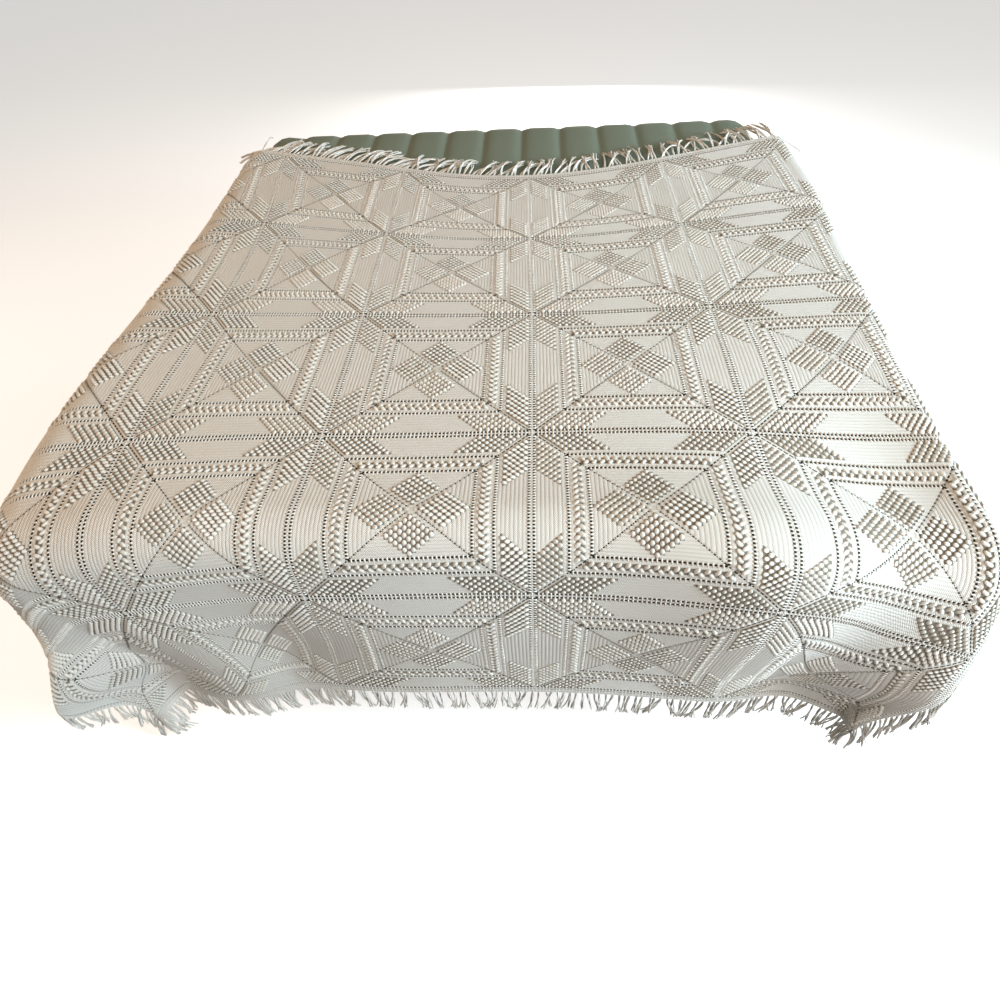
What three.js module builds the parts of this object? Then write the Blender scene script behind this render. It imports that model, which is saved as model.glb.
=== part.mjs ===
// Popcorn-stitch crochet blanket with a fringe, draped over the foot of a bed. Millimetres, +Z up.
import * as THREE from 'three';
import { mergeVertices } from 'three/addons/utils/BufferGeometryUtils.js';

// Blanket: square blocks sewn edge to edge, with a narrow border worked round them all.
// Columns count from the leftmost block's edge, rows from the backmost block's edge.
const BLOCK = 360;
const BLOCKS = 5;
const BORDER = 17;
const CLOTH_THICK = 3;
const MOTIF_RISE = 6;
const JOIN_RISE = 2;
const CELLS_PER_BLOCK = 8;
const BEND_COLUMNS = [0.44, 0.56, 0.69, 4.81, 4.94];
const BEND_ROWS = [3.56, 3.69, 3.81];

// Bed: cloth height above the floor, mattress, deck and set-back plinth.
const CLOTH_TOP = 800;
const CLEARANCE = 2.2;
const PIECE_GAP = 0.3;
const MATTRESS = { left: -810, right: 626, front: -209, length: 1530, thick: 300, corner: 90, edge: 55 };
const DECK = { inset: 30, thick: 185 };
const PLINTH = { inset: 190 };

// Fringe: knotted locks on a narrow strip along each hem.
const LOCKS_PER_SIDE = 60;
const FRINGE_LENGTH = 85;
const STRIP = { gap: 2.2, width: 6, thick: 3 };
const LOCK = { width: 9, belly: 5, tip: 5 };

// Where the cloth leaves the bed's top, how tightly it rolls over and how steeply it then falls.
const LEFT = { start: 0.7, skew: -0.065, radius: 0.25, fall: 86 };
const RIGHT = { start: 4.785, skew: 0, radius: 0.1, fall: 71 };
const FRONT = { start: 3.425, radius: 0.244, fall: 87.4 };

// The crochet gives a little: the middle column is drawn in and the front is wider than the back.
const GIVE = { row: 2.465, bow: 0.024, even: 1.68, flare: 0.014, draw: -0.028 };

// Swells and hollows, one row each: place and spread in columns and rows, push in x, y and z, in blocks.
const SWELLS = [
  { column: 0.0, row: 4.0, across: 0.5, along: 0.5, push: [-0.07, 0, -0.04] },
  { column: 0.0, row: 4.4, across: 0.4, along: 0.35, push: [-0.19, -0.245, -0.06] },
  { column: 0.0, row: 4.75, across: 0.45, along: 0.4, push: [-0.06, 0.13, 0.09] },
  { column: 0.5, row: 4.5, across: 0.4, along: 0.45, push: [0.15, 0.1, -0.07] },
  { column: 0.55, row: 5.0, across: 0.28, along: 0.35, push: [0.03, 0.16, 0] },
  { column: 1.0, row: 5.0, across: 0.45, along: 0.6, push: [0.19, 0.05, 0] },
  { column: 1.7, row: 4.8, across: 0.45, along: 0.6, push: [-0.03, 0.09, -0.02] },
  { column: 0.4, row: 3.6, across: 0.45, along: 0.45, push: [-0.015, -0.035, -0.12] },
  { column: 5.0, row: 4.0, across: 0.45, along: 0.5, push: [0.12, -0.14, -0.04] },
  { column: 5.0, row: 4.45, across: 0.35, along: 0.35, push: [0.105, -0.095, 0.035] },
  { column: 5.0, row: 4.9, across: 0.4, along: 0.45, push: [-0.075, -0.04, 0.055] },
  { column: 4.5, row: 4.5, across: 0.4, along: 0.5, push: [-0.07, 0.025, -0.095] },
  { column: 4.75, row: 4.2, across: 0.3, along: 0.4, push: [-0.17, 0.025, -0.03] },
  { column: 4.45, row: 5.0, across: 0.3, along: 0.4, push: [0, 0.1, 0] },
  { column: 4.0, row: 4.0, across: 0.5, along: 0.6, push: [0.05, -0.11, 0.115] },
  { column: 4.5, row: 3.4, across: 0.5, along: 0.5, push: [0.11, 0.06, -0.16] },
  { column: 2.0, row: 3.9, across: 0.5, along: 0.9, push: [-0.055, 0, 0] },
  { column: 2.0, row: 5.0, across: 0.35, along: 0.5, push: [-0.08, 0, 0] },
  { column: 1.0, row: 1.5, across: 0.55, along: 0.9, push: [0.1, -0.025, 0] },
  { column: 4.5, row: 2.5, across: 0.45, along: 0.5, push: [0.06, 0.02, 0] },
  { column: 3.3, row: 0.3, across: 1.2, along: 0.8, push: [0, -0.055, 0] },
  { column: 3.0, row: 3.75, across: 1.6, along: 0.3, push: [0, 0.027, 0.038] },
  { column: 3.0, row: 5.0, across: 1.3, along: 0.5, push: [0, 0.048, 0] },
  { column: 2.5, row: 3.0, across: 0.7, along: 0.6, push: [0, -0.021, 0] },
  { column: 1.5, row: 4.5, across: 0.4, along: 0.45, push: [0.052, 0.033, 0] },
  { column: 0.3, row: 0.8, across: 0.6, along: 1.0, push: [-0.022, 0, 0] },
  { column: 0.0, row: 2.1, across: 0.6, along: 0.8, push: [-0.048, 0, 0] },
  { column: 1.0, row: 0.1, across: 0.5, along: 0.4, push: [-0.061, 0, 0] },
  { column: 5.0, row: 0.7, across: 0.4, along: 0.6, push: [0.037, 0, 0] },
  { column: 5.0, row: 2.6, across: 0.4, along: 0.6, push: [-0.049, 0, 0] },
  { column: 2.9, row: -0.1, across: 1.4, along: 1.6, push: [-0.04, -0.29, 0] },
];

const bell = (swell, column, row) =>
  Math.exp(-(((column - swell.column) / swell.across) ** 2) - ((row - swell.row) / swell.along) ** 2);

// Path of the cloth over a rounded edge: how far out and how far down after a given length.
function rollOver(length, radius, fall) {
  const turned = Math.min(length / radius, fall);
  const straight = Math.max(length - radius * fall, 0);
  return {
    out: radius * Math.sin(turned) + straight * Math.cos(fall),
    down: radius * (1 - Math.cos(turned)) + straight * Math.sin(fall),
  };
}

// Outer face of the cloth at a place on the flat blanket.
function drape(column, row) {
  const r = GIVE.row + (row - GIVE.row) * (1 + GIVE.bow * ((column - 3) ** 2 - GIVE.even));
  const c = 3 + (column - 3) * (1 + GIVE.flare * (row - 2.5) + GIVE.draw);
  const onLeft = column < BLOCKS / 2;
  const side = onLeft ? LEFT : RIGHT;
  const outward = onLeft ? -1 : 1;
  const start = side.start + side.skew * (Math.min(r, FRONT.start) - 3);
  const overSide = Math.max(outward * (c - start), 0);
  const overFront = Math.max(r - FRONT.start, 0);
  const heading = Math.atan2(overFront, Math.max(overSide, 1e-9));
  const share = overSide + overFront > 0 ? heading / (Math.PI / 2) : 0;
  const radius = THREE.MathUtils.lerp(side.radius, FRONT.radius, share);
  const fall = THREE.MathUtils.degToRad(THREE.MathUtils.lerp(side.fall, FRONT.fall, share));
  const roll = rollOver(Math.hypot(overSide, overFront), radius, fall);
  const flatX = (onLeft ? Math.max(c, start) : Math.min(c, start)) - 3;
  const flatY = 3 - Math.min(r, FRONT.start);
  const turn = share * (Math.PI / 2);
  const place = new THREE.Vector3(
    flatX + outward * Math.cos(turn) * roll.out,
    flatY - Math.sin(turn) * roll.out,
    -roll.down,
  );
  for (const swell of SWELLS) {
    place.addScaledVector(new THREE.Vector3(...swell.push), bell(swell, column, row));
  }
  return place.multiplyScalar(BLOCK).add(new THREE.Vector3(0, 0, CLOTH_TOP));
}

const STEP = 0.02;
const alongRow = (column, row) => drape(column + STEP, row).sub(drape(column - STEP, row)).normalize();
const alongColumn = (column, row) => drape(column, row + STEP).sub(drape(column, row - STEP)).normalize();
const outwardNormal = (column, row) =>
  new THREE.Vector3().crossVectors(alongColumn(column, row), alongRow(column, row)).normalize();

// Raised motifs: four diamonds round each block's middle, star arms at its corners, ridges at the joins.
function rise(column, row) {
  const u = Math.abs((column % 1) - 0.5);
  const v = Math.abs((row % 1) - 0.5);
  const far = Math.max(u, v);
  const near = Math.min(u, v);
  const inside = column > 0.01 && column < BLOCKS - 0.01 && row > 0.01 && row < BLOCKS - 0.01;
  if (!inside) return 0;
  const diamond = Math.abs(far - 0.13) + near < 0.1;
  const starArm = far > 0.36 && near > 0.3 && far - near > 0.04;
  if (diamond || starArm) return MOTIF_RISE;
  return far > 0.49 ? JOIN_RISE : 0;
}

// The border's outer edges, in blocks, and the length of a side from edge to edge.
const FIRST_EDGE = -BORDER / BLOCK;
const LAST_EDGE = BLOCKS + BORDER / BLOCK;
const SIDE = BLOCK * (LAST_EDGE - FIRST_EDGE);

// Grid lines of the sheet: even steps in every block, the border's edges and more lines where it bends.
function gridLines(extra) {
  const even = Array.from({ length: BLOCKS * CELLS_PER_BLOCK + 1 }, (_, i) => i / CELLS_PER_BLOCK);
  return [FIRST_EDGE, ...even, LAST_EDGE, ...extra].sort((a, b) => a - b);
}

const columns = gridLines(BEND_COLUMNS);
const rows = gridLines(BEND_ROWS);

function solidFrom(points, triangles) {
  const geometry = new THREE.BufferGeometry();
  const flat = points.flatMap((p) => [p.x, p.y, p.z]);
  geometry.setAttribute('position', new THREE.Float32BufferAttribute(flat, 3));
  geometry.setIndex(triangles);
  const merged = mergeVertices(geometry, 1e-4);
  merged.computeVertexNormals();
  return merged;
}

function sheetGeometry() {
  const points = [];
  const outer = [];
  const inner = [];
  for (const row of rows) {
    for (const column of columns) {
      const place = drape(column, row);
      const normal = outwardNormal(column, row);
      outer.push(points.length);
      points.push(place.clone().addScaledVector(normal, rise(column, row)));
      inner.push(points.length);
      points.push(place.clone().addScaledVector(normal, -CLOTH_THICK));
    }
  }
  const triangles = [];
  const wide = columns.length;
  const quad = (a, b, c, d) => triangles.push(a, b, c, a, c, d);
  for (let j = 0; j < rows.length - 1; j += 1) {
    for (let i = 0; i < wide - 1; i += 1) {
      const a = j * wide + i;
      quad(outer[a], outer[a + wide], outer[a + wide + 1], outer[a + 1]);
      quad(inner[a], inner[a + 1], inner[a + wide + 1], inner[a + wide]);
    }
  }
  const rim = (a, b) => quad(outer[a], outer[b], inner[b], inner[a]);
  const last = (rows.length - 1) * wide;
  for (let i = 0; i < wide - 1; i += 1) {
    rim(i, i + 1);
    rim(last + i + 1, last + i);
  }
  for (let j = 0; j < rows.length - 1; j += 1) {
    rim((j + 1) * wide, j * wide);
    rim(j * wide + wide - 1, (j + 1) * wide + wide - 1);
  }
  return solidFrom(points, triangles);
}

// Hems: column and row at each share of an edge, from 0 to 1, anticlockwise round the blanket.
const between = (share) => THREE.MathUtils.lerp(FIRST_EDGE, LAST_EDGE, share);
const HEMS = {
  front: (share) => [between(share), LAST_EDGE],
  back: (share) => [between(1 - share), FIRST_EDGE],
  left: (share) => [FIRST_EDGE, between(share)],
  right: (share) => [LAST_EDGE, between(1 - share)],
};

// A value on the sheet's own flat facets, taken between its nearest grid lines.
function onFacet(column, row, value) {
  const span = (lines, at) => {
    const k = Math.min(lines.findLastIndex((line) => line <= at), lines.length - 2);
    return [lines[k], lines[k + 1], (at - lines[k]) / (lines[k + 1] - lines[k])];
  };
  const [c0, c1, across] = span(columns, column);
  const [r0, r1, along] = span(rows, row);
  const back = value(c0, r0).lerp(value(c1, r0), across);
  const front = value(c0, r1).lerp(value(c1, r1), across);
  return back.lerp(front, along);
}

// A steady pseudo-random number between -1 and 1, so that every lock hangs a little its own way.
const stray = (seed) => 2 * (Math.abs(Math.sin(seed * 12.9898) * 43758.5453) % 1) - 1;

// The strip is a run of short bars; every second bar carries a lock that grows from its outer face.
function fringeGeometry(name) {
  const hem = HEMS[name];
  const points = [];
  const triangles = [];
  const quad = (a, b, c, d) => triangles.push(a, b, c, a, c, d);
  const add = (p) => points.push(p) - 1;
  const pitch = 1 / (LOCKS_PER_SIDE + 0.6);
  const half = LOCK.width / 2 / SIDE;
  const stations = [];
  for (let k = 0; k < LOCKS_PER_SIDE; k += 1) {
    const middle = (k + 0.8) * pitch;
    stations.push(middle - half, middle + half);
  }
  const edgeAt = (share) => onFacet(...hem(share), drape);
  const rings = stations.map((share) => {
    const edge = edgeAt(share);
    const along = edgeAt(share + half).sub(edgeAt(share - half)).normalize();
    const normal = onFacet(...hem(share), outwardNormal).normalize();
    const out = new THREE.Vector3().crossVectors(along, normal).normalize();
    const corner = (o, n) => edge.clone().addScaledVector(out, o).addScaledVector(normal, n);
    const reach = STRIP.gap + STRIP.width;
    const corners = [[STRIP.gap, 0], [reach, 0], [reach, -STRIP.thick], [STRIP.gap, -STRIP.thick]];
    return { ids: corners.map(([o, n]) => add(corner(o, n))), edge, normal, out };
  });
  const first = rings[0].ids;
  const final = rings[rings.length - 1].ids;
  quad(first[3], first[2], first[1], first[0]);
  quad(final[0], final[1], final[2], final[3]);
  for (let k = 0; k < rings.length - 1; k += 1) {
    const a = rings[k].ids;
    const b = rings[k + 1].ids;
    quad(a[0], a[1], b[1], b[0]);
    quad(a[2], a[3], b[3], b[2]);
    quad(a[3], a[0], b[0], b[3]);
    if (k % 2 === 1) {
      quad(a[1], a[2], b[2], b[1]);
    } else {
      growLock(rings[k], rings[k + 1], k, name, add, quad);
    }
  }
  return solidFrom(points, triangles);
}

// A lock leaves the strip straight, then hangs down, or follows the cloth's slope at the back and left.
// Where the back hem is level its locks lie on the bed.
function growLock(a, b, seed, name, add, quad) {
  const down = new THREE.Vector3(0, 0, -1);
  const middle = a.edge.clone().add(b.edge).multiplyScalar(0.5);
  const out = a.out.clone().add(b.out).normalize();
  const across = b.edge.clone().sub(a.edge).normalize();
  const normal = a.normal.clone().add(b.normal).normalize();
  const onBed = name === 'back' && normal.z > 0.99;
  const sway = stray(seed + name.length) * (onBed ? 0.2 : 0.1);
  const length = FRINGE_LENGTH * (0.9 + 0.1 * stray(seed * 3 + 1));
  const onSlope = name === 'back' || name === 'left';
  const fall = onSlope ? down.addScaledVector(normal, normal.z) : down;
  const path = out.clone().add(fall).normalize();
  path.addScaledVector(across, sway).normalize();
  const end = path.clone().add(fall).normalize();
  end.addScaledVector(across, sway).normalize();
  const root = middle.clone().addScaledVector(out, STRIP.gap + STRIP.width);
  root.addScaledVector(normal, -STRIP.thick / 2);
  const belly = root.clone().addScaledVector(path, length * 0.5);
  const tip = belly.clone().addScaledVector(end, length * 0.5);
  const section = (centre, wide, thick) => {
    const low = CLOTH_TOP - CLOTH_THICK - CLEARANCE + PIECE_GAP;
    const corner = (s, n) => {
      const p = centre.clone().addScaledVector(across, s * wide / 2).addScaledVector(normal, n * thick / 2);
      if (onBed) p.z = n > 0 ? low + thick : low;
      return add(p);
    };
    return [corner(-1, 1), corner(-1, -1), corner(1, -1), corner(1, 1)];
  };
  const sections = [
    [a.ids[1], a.ids[2], b.ids[2], b.ids[1]],
    section(belly, LOCK.width, LOCK.belly),
    section(tip, LOCK.tip, LOCK.tip - 1),
  ];
  for (let k = 0; k < sections.length - 1; k += 1) {
    const p = sections[k];
    const q = sections[k + 1];
    for (let m = 0; m < 4; m += 1) {
      const n = (m + 1) % 4;
      quad(p[m], p[n], q[n], q[m]);
    }
  }
  const [w, x, y, z] = sections[2];
  quad(w, x, y, z);
}

// Mattress: rings of a rounded rectangle, its rim rounded and its top sunk under the drooping corners.
function mattressGeometry() {
  const top = CLOTH_TOP - CLOTH_THICK - CLEARANCE;
  const bottom = top - MATTRESS.thick;
  const back = MATTRESS.front + MATTRESS.length;
  const arc = 6;
  const profile = [];
  for (let k = 0; k <= 4; k += 1) {
    const angle = (k / 4) * (Math.PI / 2);
    const [run, climb] = [1 - Math.sin(angle), 1 - Math.cos(angle)];
    profile.push({ inset: MATTRESS.edge * run, z: bottom + MATTRESS.edge * climb });
  }
  for (let k = 0; k <= 4; k += 1) {
    const angle = (k / 4) * (Math.PI / 2);
    const [run, climb] = [1 - Math.cos(angle), 1 - Math.sin(angle)];
    profile.push({ inset: MATTRESS.edge * run, z: top - MATTRESS.edge * climb });
  }
  for (const inset of [110, 200, 320, 480, 640]) profile.push({ inset, z: top });
  const sink = (x, y) => {
    const soft = SWELLS.filter((swell) => swell.row < 3.7 && swell.push[2] < 0);
    const depth = soft.map((swell) => swell.push[2] * bell(swell, x / BLOCK + 3, 3 - y / BLOCK));
    return BLOCK * depth.reduce((sum, value) => sum + value, 0);
  };
  const ring = ({ inset, z }) => {
    const radius = Math.max(MATTRESS.corner - inset, 4);
    const corners = [
      [MATTRESS.right - inset - radius, back - inset - radius],
      [MATTRESS.left + inset + radius, back - inset - radius],
      [MATTRESS.left + inset + radius, MATTRESS.front + inset + radius],
      [MATTRESS.right - inset - radius, MATTRESS.front + inset + radius],
    ];
    const round = corners.flatMap(([cx, cy], quarter) => Array.from({ length: arc + 1 }, (_, k) => {
      const angle = (quarter + k / arc) * (Math.PI / 2);
      return new THREE.Vector3(cx + radius * Math.cos(angle), cy + radius * Math.sin(angle), z);
    }));
    const share = THREE.MathUtils.clamp((z - bottom) / MATTRESS.thick, 0, 1);
    return round.map((p) => p.setZ(p.z + 1.15 * share * sink(p.x, p.y)));
  };
  const points = profile.flatMap(ring);
  const count = 4 * (arc + 1);
  const triangles = [];
  for (let k = 0; k < profile.length - 1; k += 1) {
    for (let m = 0; m < count; m += 1) {
      const n = (m + 1) % count;
      const [a, b] = [k * count + m, k * count + n];
      triangles.push(a, b, b + count, a, b + count, a + count);
    }
  }
  const middle = new THREE.Vector3((MATTRESS.left + MATTRESS.right) / 2, (MATTRESS.front + back) / 2, 0);
  const low = points.push(middle.clone().setZ(bottom)) - 1;
  const high = points.push(middle.clone().setZ(top)) - 1;
  const crown = (profile.length - 1) * count;
  for (let m = 0; m < count; m += 1) {
    const n = (m + 1) % count;
    triangles.push(low, n, m, high, crown + m, crown + n);
  }
  return solidFrom(points, triangles);
}

// Deck and plinth: plain boards under the mattress, the plinth set back from the deck's edge.
function slab(inset, thick, top) {
  const wide = MATTRESS.right - MATTRESS.left - 2 * inset;
  const long = MATTRESS.length - 2 * inset;
  const middle = (MATTRESS.left + MATTRESS.right) / 2;
  return new THREE.BoxGeometry(wide, long, thick)
    .translate(middle, MATTRESS.front + MATTRESS.length / 2, top - thick / 2);
}

const deckTop = CLOTH_TOP - CLOTH_THICK - CLEARANCE - MATTRESS.thick - PIECE_GAP;
const plinthTop = deckTop - DECK.thick - PIECE_GAP;

const cotton = { color: 0xddd6c8, roughness: 0.95, metalness: 0 };
const ticking = { color: 0x8f9a86, roughness: 0.9, metalness: 0 };
const timber = { color: 0xcfc4b2, roughness: 0.7, metalness: 0 };

const bed = new THREE.Group();
function place(name, geometry, look) {
  const mesh = new THREE.Mesh(geometry, new THREE.MeshStandardMaterial(look));
  mesh.name = name;
  bed.add(mesh);
}

place('blanket', sheetGeometry(), cotton);
for (const name of Object.keys(HEMS)) place(`fringe_${name}`, fringeGeometry(name), cotton);
place('mattress', mattressGeometry(), ticking);
place('bed_deck', slab(DECK.inset, DECK.thick, deckTop), timber);
place('bed_plinth', slab(PLINTH.inset, plinthTop, plinthTop), timber);

// The frame's origin is the middle of the part's box, on the floor.
const box = new THREE.Box3().setFromObject(bed);
const centre = box.getCenter(new THREE.Vector3());
bed.position.set(-centre.x, -centre.y, -box.min.z);

const part = new THREE.Group();
part.add(bed);

export default part;
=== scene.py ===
import math

import bmesh
import bpy
import numpy as np
from mathutils import Matrix, Vector


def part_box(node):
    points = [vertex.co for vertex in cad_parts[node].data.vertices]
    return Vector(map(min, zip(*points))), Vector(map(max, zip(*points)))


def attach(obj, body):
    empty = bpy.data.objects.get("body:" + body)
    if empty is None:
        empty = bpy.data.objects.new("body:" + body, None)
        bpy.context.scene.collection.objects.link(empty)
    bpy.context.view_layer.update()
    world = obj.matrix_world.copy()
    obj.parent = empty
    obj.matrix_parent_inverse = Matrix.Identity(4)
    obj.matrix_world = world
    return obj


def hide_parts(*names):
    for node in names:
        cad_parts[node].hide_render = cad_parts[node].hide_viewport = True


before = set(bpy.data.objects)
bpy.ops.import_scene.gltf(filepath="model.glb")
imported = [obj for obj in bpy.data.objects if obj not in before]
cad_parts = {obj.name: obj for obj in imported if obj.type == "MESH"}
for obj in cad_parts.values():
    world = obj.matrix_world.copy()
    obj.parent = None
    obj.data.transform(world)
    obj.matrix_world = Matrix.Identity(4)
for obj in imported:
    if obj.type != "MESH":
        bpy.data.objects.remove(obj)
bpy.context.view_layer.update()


# Camera: held at standing height past the foot of the bed, tipped steeply down and a little turned,
# so that the front drop shows foreshortened below the blanket's flat top.
IN_FROM_LEFT = 0.810
IN_FROM_FOOT = 0.209
CLOTH_ABOVE = 0.0052
EYE_FROM_BED = (0.016, -0.778, 0.774)
YAW_PITCH_ROLL = (-5.8, 50.6, -4.7)
SENSOR = 36
LENS = 23.4
mattress_low, mattress_high = (np.array(corner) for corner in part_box("mattress"))
bed = np.array(
    (mattress_low[0] + IN_FROM_LEFT, mattress_low[1] + IN_FROM_FOOT, mattress_high[2] + CLOTH_ABOVE)
)
eye = Vector(bed + EYE_FROM_BED)
yaw, pitch, roll = (math.radians(angle) for angle in YAW_PITCH_ROLL)
ahead = Vector((math.sin(yaw) * math.cos(pitch), math.cos(yaw) * math.cos(pitch), -math.sin(pitch)))
level = Vector((math.cos(yaw), -math.sin(yaw), 0))
above = level.cross(ahead)
rightward = level * math.cos(roll) + above * math.sin(roll)
upward = above * math.cos(roll) - level * math.sin(roll)

camera = bpy.data.objects.new("camera", bpy.data.cameras.new("camera"))
camera.data.sensor_width = SENSOR
camera.data.lens = LENS
camera.matrix_world = Matrix.Translation(eye) @ Matrix((rightward, upward, -ahead)).transposed().to_4x4()
bpy.context.scene.collection.objects.link(camera)
bpy.context.scene.camera = camera


# Blanket: the crocheted ground of twenty-five square blocks sewn edge to edge, in cotton yarn,
# with a narrow border worked round them all. It lies flat on the bed, rolls over its left, right
# and front edges and folds at the two front corners.
BLOCK = 0.36
BLOCKS = 5
BORDER = 0.017
CLOTH_THICK = 0.003
CELLS_PER_BLOCK = 28
SLOPE_STEP = 0.02

# The drape is measured from the corner where four blocks meet at this column and row.
ANCHOR = 3

# Where the cloth leaves the flat top, its bend and the slope of its fall, in blocks and degrees.
LEFT = {"start": 0.70, "skew": -0.065, "radius": 0.25, "fall": 86}
RIGHT = {"start": 4.785, "skew": 0.0, "radius": 0.10, "fall": 71}
FRONT = {"start": 3.425, "radius": 0.244, "fall": 87.4}

# The give of the crochet: drawn in at the middle column, wider at the front than at the back.
GIVE = {"row": 2.465, "bow": 0.024, "even": 1.68, "flare": 0.014, "draw": -0.028}

# Swells and hollows: column, row, spread across, spread along, push in x, y and z, all in blocks.
SWELLS = [
    (0.0, 4.0, 0.5, 0.5, (-0.07, 0, -0.04)),
    (0.0, 4.4, 0.4, 0.35, (-0.19, -0.245, -0.06)),
    (0.0, 4.75, 0.45, 0.4, (-0.06, 0.13, 0.09)),
    (0.5, 4.5, 0.4, 0.45, (0.15, 0.1, -0.07)),
    (0.55, 5.0, 0.28, 0.35, (0.03, 0.16, 0)),
    (1.0, 5.0, 0.45, 0.6, (0.19, 0.05, 0)),
    (1.7, 4.8, 0.45, 0.6, (-0.03, 0.09, -0.02)),
    (0.4, 3.6, 0.45, 0.45, (-0.015, -0.035, -0.12)),
    (5.0, 4.0, 0.45, 0.5, (0.12, -0.14, -0.04)),
    (5.0, 4.45, 0.35, 0.35, (0.105, -0.095, 0.035)),
    (5.0, 4.9, 0.4, 0.45, (-0.075, -0.04, 0.055)),
    (4.5, 4.5, 0.4, 0.5, (-0.07, 0.025, -0.095)),
    (4.75, 4.2, 0.3, 0.4, (-0.17, 0.025, -0.03)),
    (4.45, 5.0, 0.3, 0.4, (0, 0.1, 0)),
    (4.0, 4.0, 0.5, 0.6, (0.05, -0.11, 0.115)),
    (4.5, 3.4, 0.5, 0.5, (0.11, 0.06, -0.16)),
    (2.0, 3.9, 0.5, 0.9, (-0.055, 0, 0)),
    (2.0, 5.0, 0.35, 0.5, (-0.08, 0, 0)),
    (1.0, 1.5, 0.55, 0.9, (0.1, -0.025, 0)),
    (4.5, 2.5, 0.45, 0.5, (0.06, 0.02, 0)),
    (3.3, 0.3, 1.2, 0.8, (0, -0.055, 0)),
    (3.0, 3.75, 1.6, 0.3, (0, 0.027, 0.038)),
    (3.0, 5.0, 1.3, 0.5, (0, 0.048, 0)),
    (2.5, 3.0, 0.7, 0.6, (0, -0.021, 0)),
    (1.5, 4.5, 0.4, 0.45, (0.052, 0.033, 0)),
    (0.3, 0.8, 0.6, 1.0, (-0.022, 0, 0)),
    (0.0, 2.1, 0.6, 0.8, (-0.048, 0, 0)),
    (1.0, 0.1, 0.5, 0.4, (-0.061, 0, 0)),
    (5.0, 0.7, 0.4, 0.6, (0.037, 0, 0)),
    (5.0, 2.6, 0.4, 0.6, (-0.049, 0, 0)),
    (2.9, -0.1, 1.4, 1.6, (-0.04, -0.29, 0)),
]


def roll_over(length, radius, fall):
    """How far out and how far down cloth gets over a rounded edge after a given length."""
    turned = np.minimum(length / radius, fall)
    straight = np.maximum(length - radius * fall, 0)
    out = radius * np.sin(turned) + straight * np.cos(fall)
    down = radius * (1 - np.cos(turned)) + straight * np.sin(fall)
    return out, down


def drape(column, row):
    """Places on the blanket's upper face, for places on the flat blanket counted in blocks."""
    column, row = np.broadcast_arrays(np.asarray(column, float), np.asarray(row, float))
    r = GIVE["row"] + (row - GIVE["row"]) * (1 + GIVE["bow"] * ((column - ANCHOR) ** 2 - GIVE["even"]))
    c = ANCHOR + (column - ANCHOR) * (1 + GIVE["flare"] * (row - BLOCKS / 2) + GIVE["draw"])
    on_left = column < BLOCKS / 2
    side = {key: np.where(on_left, LEFT[key], RIGHT[key]) for key in LEFT}
    outward = np.where(on_left, -1.0, 1.0)
    start = side["start"] + side["skew"] * (np.minimum(r, FRONT["start"]) - ANCHOR)
    over_side = np.maximum(outward * (c - start), 0)
    over_front = np.maximum(r - FRONT["start"], 0)
    turn = np.where(over_side + over_front > 0, np.arctan2(over_front, over_side), 0)
    share = turn / (math.pi / 2)
    radius = side["radius"] * (1 - share) + FRONT["radius"] * share
    fall = np.radians(side["fall"] * (1 - share) + FRONT["fall"] * share)
    out, down = roll_over(np.hypot(over_side, over_front), radius, fall)
    flat_x = np.where(on_left, np.maximum(c, start), np.minimum(c, start)) - ANCHOR
    flat_y = ANCHOR - np.minimum(r, FRONT["start"])
    place = np.stack((flat_x + outward * np.cos(turn) * out, flat_y - np.sin(turn) * out, -down), -1)
    for at_column, at_row, across, along, push in SWELLS:
        bell = np.exp(-((column - at_column) / across) ** 2 - ((row - at_row) / along) ** 2)
        place = place + bell[..., None] * np.array(push, float)
    return place * BLOCK + bed


def unit(vectors):
    return vectors / np.linalg.norm(vectors, axis=-1, keepdims=True)


def along_row(column, row):
    return unit(drape(column + SLOPE_STEP, row) - drape(column - SLOPE_STEP, row))


def along_column(column, row):
    return unit(drape(column, row + SLOPE_STEP) - drape(column, row - SLOPE_STEP))


def cloth_normal(column, row):
    return unit(np.cross(along_column(column, row), along_row(column, row)))


def mesh_piece(name, points, faces, smooth=True):
    """A plain mesh object at the origin, with its place in its points."""
    mesh = bpy.data.meshes.new(name)
    mesh.from_pydata([tuple(p) for p in points], [], faces)
    mesh.polygons.foreach_set("use_smooth", [smooth] * len(mesh.polygons))
    mesh.validate()
    piece = bpy.data.objects.new(name, mesh)
    bpy.context.scene.collection.objects.link(piece)
    return piece


first_edge, last_edge = -BORDER / BLOCK, BLOCKS + BORDER / BLOCK
sheet_lines = np.linspace(0, BLOCKS, BLOCKS * CELLS_PER_BLOCK + 1)
sheet_lines = np.concatenate(([first_edge], sheet_lines, [last_edge]))
steps = len(sheet_lines)
sheet_column, sheet_row = np.meshgrid(sheet_lines, sheet_lines)
sheet_column, sheet_row = sheet_column.ravel(), sheet_row.ravel()
upper = drape(sheet_column, sheet_row)
lower = upper - cloth_normal(sheet_column, sheet_row) * CLOTH_THICK
corner = (np.arange(steps - 1)[:, None] * steps + np.arange(steps - 1)).ravel()
under = steps * steps
top_faces = np.stack((corner, corner + steps, corner + steps + 1, corner + 1), 1)
low_faces = top_faces[:, ::-1] + under
front = np.arange(steps)
edges = [front, front[::-1] + steps * (steps - 1), front[::-1] * steps, front * steps + steps - 1]
rim_faces = np.concatenate([np.stack((e[:-1], e[1:], e[1:] + under, e[:-1] + under), 1) for e in edges])
sheet_faces = np.concatenate((top_faces, low_faces, rim_faces)).tolist()
blanket = mesh_piece("blanket_ground", np.concatenate((upper, lower)), sheet_faces)

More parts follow.
